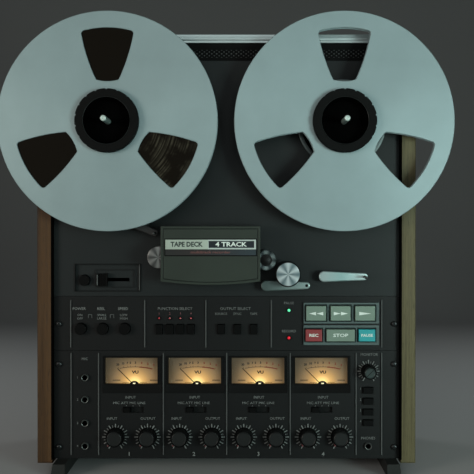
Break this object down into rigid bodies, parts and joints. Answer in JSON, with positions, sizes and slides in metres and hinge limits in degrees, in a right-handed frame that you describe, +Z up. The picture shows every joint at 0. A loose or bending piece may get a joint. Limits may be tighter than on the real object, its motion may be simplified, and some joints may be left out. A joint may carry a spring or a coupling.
{
  "type": "reel to reel tape deck",
  "caption": "Upright reel to reel tape deck with large reels, covered heads, meters, knobs and transport keys between wooden sides.",
  "frame": {"origin": "on the standing surface, under the middle of the deck's box", "axes": "+Z up, front of the deck towards -Y, +X to the right seen from the front"},
  "size_m": [0.5534, 0.27, 0.5668],
  "materials": {
    "deck_paint": "satin green-grey enamel",
    "panel_black": "satin black enamel with pale printed legends",
    "cabinet_steel": "black crinkle enamel on sheet steel",
    "side_wood": "oiled dark walnut veneer",
    "foot_plastic": "matt black moulded rubber",
    "head_metal": "polished metal",
    "connector_metal": "nickel plated",
    "chassis_metal": "plain plated steel",
    "meter_case": "black moulded case with a lit cream dial",
    "reel_aluminium": "satin anodised metal",
    "tape_brown": "brown oxide tape wound in a pack",
    "spindle_black": "black moulded hub adaptor on a steel spindle",
    "capstan_chrome": "turned and polished",
    "guide_metal": "spun radial finish",
    "arm_metal": "satin pressed lever",
    "roller_rubber": "black rubber tyre with a spun metal cap",
    "cover_paint": "satin green-grey enamel",
    "button_black": "black moulded plastic",
    "key_grey": "moulded key, grey-green",
    "key_red": "moulded key, red",
    "key_blue": "moulded key, blue",
    "needle_black": "black pointer",
    "dial_cream": "warm lit dial",
    "lens_clear": "clear window",
    "legend_white": "pale printed legend",
    "lamp_green": "green indicator lamp",
    "lamp_red": "red indicator lamp",
    "trim_silver": "satin extruded trim",
    "plate_silver": "printed nameplate"
  },
  "bodies": {
    "cabinet": {"deck_plate": "deck_paint", "control_panels": "panel_black", "cabinet_covers": "cabinet_steel", "side_panels": "side_wood", "feet": "foot_plastic", "head_assembly": "head_metal", "connectors": "connector_metal", "chassis_internals": "chassis_metal", "vu_meters": "meter_case"},
    "supply_side": {"supply_reel": "reel_aluminium", "supply_tape_pack": "tape_brown", "supply_spindle": "spindle_black"},
    "takeup_side": {"takeup_reel": "reel_aluminium", "takeup_spindle": "spindle_black"},
    "capstan": {"capstan": "capstan_chrome"},
    "guide_roller": {"guide_roller": "guide_metal"},
    "pinch_arm": {"pinch_arm": "arm_metal"},
    "pinch_roller": {"pinch_roller": "roller_rubber"},
    "supply_tension_arm": {"supply_tension_arm": "arm_metal"},
    "takeup_tension_arm": {"takeup_tension_arm": "arm_metal"},
    "head_cover": {"head_cover": "cover_paint"},
    "cue_button": {"cue_button": "button_black"},
    "cue_slider": {"cue_slider": "button_black"},
    "power_button": {"power_button": "button_black"},
    "reel_size_button": {"reel_size_button": "button_black"},
    "speed_button": {"speed_button": "button_black"},
    "function_button_1": {"function_button_1": "button_black"},
    "function_button_2": {"function_button_2": "button_black"},
    "function_button_3": {"function_button_3": "button_black"},
    "function_button_4": {"function_button_4": "button_black"},
    "output_button_1": {"output_button_1": "button_black"},
    "output_button_2": {"output_button_2": "button_black"},
    "output_button_3": {"output_button_3": "button_black"},
    "rewind_key": {"rewind_key": "key_grey"},
    "fast_forward_key": {"fast_forward_key": "key_grey"},
    "play_key": {"play_key": "key_grey"},
    "record_key": {"record_key": "key_red"},
    "stop_key": {"stop_key": "key_grey"},
    "pause_key": {"pause_key": "key_blue"},
    "monitor_button_1": {"monitor_button_1": "button_black"},
    "monitor_button_2": {"monitor_button_2": "button_black"},
    "monitor_button_3": {"monitor_button_3": "button_black"},
    "monitor_button_4": {"monitor_button_4": "button_black"},
    "input_knob_1": {"input_knob_1": "button_black"},
    "output_knob_1": {"output_knob_1": "button_black"},
    "input_knob_2": {"input_knob_2": "button_black"},
    "output_knob_2": {"output_knob_2": "button_black"},
    "input_knob_3": {"input_knob_3": "button_black"},
    "output_knob_3": {"output_knob_3": "button_black"},
    "input_knob_4": {"input_knob_4": "button_black"},
    "output_knob_4": {"output_knob_4": "button_black"},
    "monitor_knob": {"monitor_knob": "button_black"},
    "input_switch_1": {"input_switch_1": "button_black"},
    "input_switch_2": {"input_switch_2": "button_black"},
    "input_switch_3": {"input_switch_3": "button_black"},
    "input_switch_4": {"input_switch_4": "button_black"},
    "vu_needle_1": {"vu_needle_1": "needle_black"},
    "vu_needle_2": {"vu_needle_2": "needle_black"},
    "vu_needle_3": {"vu_needle_3": "needle_black"},
    "vu_needle_4": {"vu_needle_4": "needle_black"}
  },
  "joints": [
    {"name": "supply_spin", "type": "hinge", "parent": "cabinet", "child": "supply_side", "pos_m": [-0.14335, -0.095, 0.4335], "axis": [0, 1, 0], "continuous": true},
    {"name": "takeup_spin", "type": "hinge", "parent": "cabinet", "child": "takeup_side", "pos_m": [0.14335, -0.095, 0.4335], "axis": [0, 1, 0], "continuous": true},
    {"name": "capstan_spin", "type": "hinge", "parent": "cabinet", "child": "capstan", "pos_m": [0.0484, -0.085, 0.265], "axis": [0, 1, 0], "continuous": true},
    {"name": "guide_roller_spin", "type": "hinge", "parent": "cabinet", "child": "guide_roller", "pos_m": [-0.082, -0.085, 0.2686], "axis": [0, 1, 0], "continuous": true},
    {"name": "pinch_arm_swing", "type": "hinge", "parent": "cabinet", "child": "pinch_arm", "pos_m": [0.0494, -0.075, 0.2327], "axis": [0, -1, 0], "range_deg": [0, 8], "stiffness_Nm_per_rad": 0.3, "springref_deg": -20.05},
    {"name": "pinch_roller_spin", "type": "hinge", "parent": "pinch_arm", "child": "pinch_roller", "pos_m": [0.0753, -0.089, 0.248], "axis": [0, 1, 0], "continuous": true},
    {"name": "supply_tension_swing", "type": "hinge", "parent": "cabinet", "child": "supply_tension_arm", "pos_m": [-0.1331, -0.075, 0.3178], "axis": [0, 1, 0], "range_deg": [0, 35], "stiffness_Nm_per_rad": 0.03, "springref_deg": -34.38},
    {"name": "takeup_tension_swing", "type": "hinge", "parent": "cabinet", "child": "takeup_tension_arm", "pos_m": [0.1206, -0.075, 0.2441], "axis": [0, -1, 0], "range_deg": [0, 35], "stiffness_Nm_per_rad": 0.03, "springref_deg": -34.38},
    {"name": "head_cover_pull", "type": "slide", "parent": "cabinet", "child": "head_cover", "axis": [0, -1, 0], "range_m": [0, 0.045]},
    {"name": "cue_button_press", "type": "slide", "parent": "cabinet", "child": "cue_button", "axis": [0, 1, 0], "range_m": [0, 0.002], "stiffness_N_per_m": 250, "springref_m": -0.003},
    {"name": "cue_slider_move", "type": "slide", "parent": "cabinet", "child": "cue_slider", "axis": [1, 0, 0], "range_m": [0, 0.026]},
    {"name": "power_button_press", "type": "slide", "parent": "cabinet", "child": "power_button", "axis": [0, 1, 0], "range_m": [0, 0.003], "stiffness_N_per_m": 250, "springref_m": -0.003},
    {"name": "reel_size_button_press", "type": "slide", "parent": "cabinet", "child": "reel_size_button", "axis": [0, 1, 0], "range_m": [0, 0.003], "stiffness_N_per_m": 250, "springref_m": -0.003},
    {"name": "speed_button_press", "type": "slide", "parent": "cabinet", "child": "speed_button", "axis": [0, 1, 0], "range_m": [0, 0.003], "stiffness_N_per_m": 250, "springref_m": -0.003},
    {"name": "function_button_1_press", "type": "slide", "parent": "cabinet", "child": "function_button_1", "axis": [0, 1, 0], "range_m": [0, 0.003], "stiffness_N_per_m": 250, "springref_m": -0.003},
    {"name": "function_button_2_press", "type": "slide", "parent": "cabinet", "child": "function_button_2", "axis": [0, 1, 0], "range_m": [0, 0.003], "stiffness_N_per_m": 250, "springref_m": -0.003},
    {"name": "function_button_3_press", "type": "slide", "parent": "cabinet", "child": "function_button_3", "axis": [0, 1, 0], "range_m": [0, 0.003], "stiffness_N_per_m": 250, "springref_m": -0.003},
    {"name": "function_button_4_press", "type": "slide", "parent": "cabinet", "child": "function_button_4", "axis": [0, 1, 0], "range_m": [0, 0.003], "stiffness_N_per_m": 250, "springref_m": -0.003},
    {"name": "output_button_1_press", "type": "slide", "parent": "cabinet", "child": "output_button_1", "axis": [0, 1, 0], "range_m": [0, 0.003], "stiffness_N_per_m": 250, "springref_m": -0.003},
    {"name": "output_button_2_press", "type": "slide", "parent": "cabinet", "child": "output_button_2", "axis": [0, 1, 0], "range_m": [0, 0.003], "stiffness_N_per_m": 250, "springref_m": -0.003},
    {"name": "output_button_3_press", "type": "slide", "parent": "cabinet", "child": "output_button_3", "axis": [0, 1, 0], "range_m": [0, 0.003], "stiffness_N_per_m": 250, "springref_m": -0.003},
    {"name": "rewind_key_press", "type": "slide", "parent": "cabinet", "child": "rewind_key", "axis": [0, 1, 0], "range_m": [0, 0.003], "stiffness_N_per_m": 250, "springref_m": -0.003},
    {"name": "fast_forward_key_press", "type": "slide", "parent": "cabinet", "child": "fast_forward_key", "axis": [0, 1, 0], "range_m": [0, 0.003], "stiffness_N_per_m": 250, "springref_m": -0.003},
    {"name": "play_key_press", "type": "slide", "parent": "cabinet", "child": "play_key", "axis": [0, 1, 0], "range_m": [0, 0.003], "stiffness_N_per_m": 250, "springref_m": -0.003},
    {"name": "record_key_press", "type": "slide", "parent": "cabinet", "child": "record_key", "axis": [0, 1, 0], "range_m": [0, 0.003], "stiffness_N_per_m": 250, "springref_m": -0.003},
    {"name": "stop_key_press", "type": "slide", "parent": "cabinet", "child": "stop_key", "axis": [0, 1, 0], "range_m": [0, 0.003], "stiffness_N_per_m": 250, "springref_m": -0.003},
    {"name": "pause_key_press", "type": "slide", "parent": "cabinet", "child": "pause_key", "axis": [0, 1, 0], "range_m": [0, 0.003], "stiffness_N_per_m": 250, "springref_m": -0.003},
    {"name": "monitor_button_1_press", "type": "slide", "parent": "cabinet", "child": "monitor_button_1", "axis": [0, 1, 0], "range_m": [0, 0.0025], "stiffness_N_per_m": 250, "springref_m": -0.003},
    {"name": "monitor_button_2_press", "type": "slide", "parent": "cabinet", "child": "monitor_button_2", "axis": [0, 1, 0], "range_m": [0, 0.0025], "stiffness_N_per_m": 250, "springref_m": -0.003},
    {"name": "monitor_button_3_press", "type": "slide", "parent": "cabinet", "child": "monitor_button_3", "axis": [0, 1, 0], "range_m": [0, 0.0025], "stiffness_N_per_m": 250, "springref_m": -0.003},
    {"name": "monitor_button_4_press", "type": "slide", "parent": "cabinet", "child": "monitor_button_4", "axis": [0, 1, 0], "range_m": [0, 0.0025], "stiffness_N_per_m": 250, "springref_m": -0.003},
    {"name": "input_knob_1_turn", "type": "hinge", "parent": "cabinet", "child": "input_knob_1", "pos_m": [-0.1385, -0.073, 0.0438], "axis": [0, 1, 0], "range_deg": [0, 270]},
    {"name": "output_knob_1_turn", "type": "hinge", "parent": "cabinet", "child": "output_knob_1", "pos_m": [-0.0985, -0.073, 0.0438], "axis": [0, 1, 0], "range_deg": [0, 270]},
    {"name": "input_knob_2_turn", "type": "hinge", "parent": "cabinet", "child": "input_knob_2", "pos_m": [-0.0585, -0.073, 0.0438], "axis": [0, 1, 0], "range_deg": [0, 270]},
    {"name": "output_knob_2_turn", "type": "hinge", "parent": "cabinet", "child": "output_knob_2", "pos_m": [-0.0185, -0.073, 0.0438], "axis": [0, 1, 0], "range_deg": [0, 270]},
    {"name": "input_knob_3_turn", "type": "hinge", "parent": "cabinet", "child": "input_knob_3", "pos_m": [0.0215, -0.073, 0.0438], "axis": [0, 1, 0], "range_deg": [0, 270]},
    {"name": "output_knob_3_turn", "type": "hinge", "parent": "cabinet", "child": "output_knob_3", "pos_m": [0.0615, -0.073, 0.0438], "axis": [0, 1, 0], "range_deg": [0, 270]},
    {"name": "input_knob_4_turn", "type": "hinge", "parent": "cabinet", "child": "input_knob_4", "pos_m": [0.1015, -0.073, 0.0438], "axis": [0, 1, 0], "range_deg": [0, 270]},
    {"name": "output_knob_4_turn", "type": "hinge", "parent": "cabinet", "child": "output_knob_4", "pos_m": [0.1415, -0.073, 0.0438], "axis": [0, 1, 0], "range_deg": [0, 270]},
    {"name": "monitor_knob_turn", "type": "hinge", "parent": "cabinet", "child": "monitor_knob", "pos_m": [0.1769, -0.073, 0.1254], "axis": [0, 1, 0], "range_deg": [0, 270]},
    {"name": "input_switch_1_move", "type": "slide", "parent": "cabinet", "child": "input_switch_1", "axis": [1, 0, 0], "range_m": [0, 0.0164]},
    {"name": "input_switch_2_move", "type": "slide", "parent": "cabinet", "child": "input_switch_2", "axis": [1, 0, 0], "range_m": [0, 0.0164]},
    {"name": "input_switch_3_move", "type": "slide", "parent": "cabinet", "child": "input_switch_3", "axis": [1, 0, 0], "range_m": [0, 0.0164]},
    {"name": "input_switch_4_move", "type": "slide", "parent": "cabinet", "child": "input_switch_4", "axis": [1, 0, 0], "range_m": [0, 0.0164]},
    {"name": "vu_needle_1_swing", "type": "hinge", "parent": "cabinet", "child": "vu_needle_1", "pos_m": [-0.11555, -0.059, 0.106], "axis": [0, 1, 0], "range_deg": [0, 90], "stiffness_Nm_per_rad": 0.0002, "springref_deg": -28.65},
    {"name": "vu_needle_2_swing", "type": "hinge", "parent": "cabinet", "child": "vu_needle_2", "pos_m": [-0.03705, -0.059, 0.106], "axis": [0, 1, 0], "range_deg": [0, 90], "stiffness_Nm_per_rad": 0.0002, "springref_deg": -28.65},
    {"name": "vu_needle_3_swing", "type": "hinge", "parent": "cabinet", "child": "vu_needle_3", "pos_m": [0.04145, -0.059, 0.106], "axis": [0, 1, 0], "range_deg": [0, 90], "stiffness_Nm_per_rad": 0.0002, "springref_deg": -28.65},
    {"name": "vu_needle_4_swing", "type": "hinge", "parent": "cabinet", "child": "vu_needle_4", "pos_m": [0.11995, -0.059, 0.106], "axis": [0, 1, 0], "range_deg": [0, 90], "stiffness_Nm_per_rad": 0.0002, "springref_deg": -28.65}
  ]
}
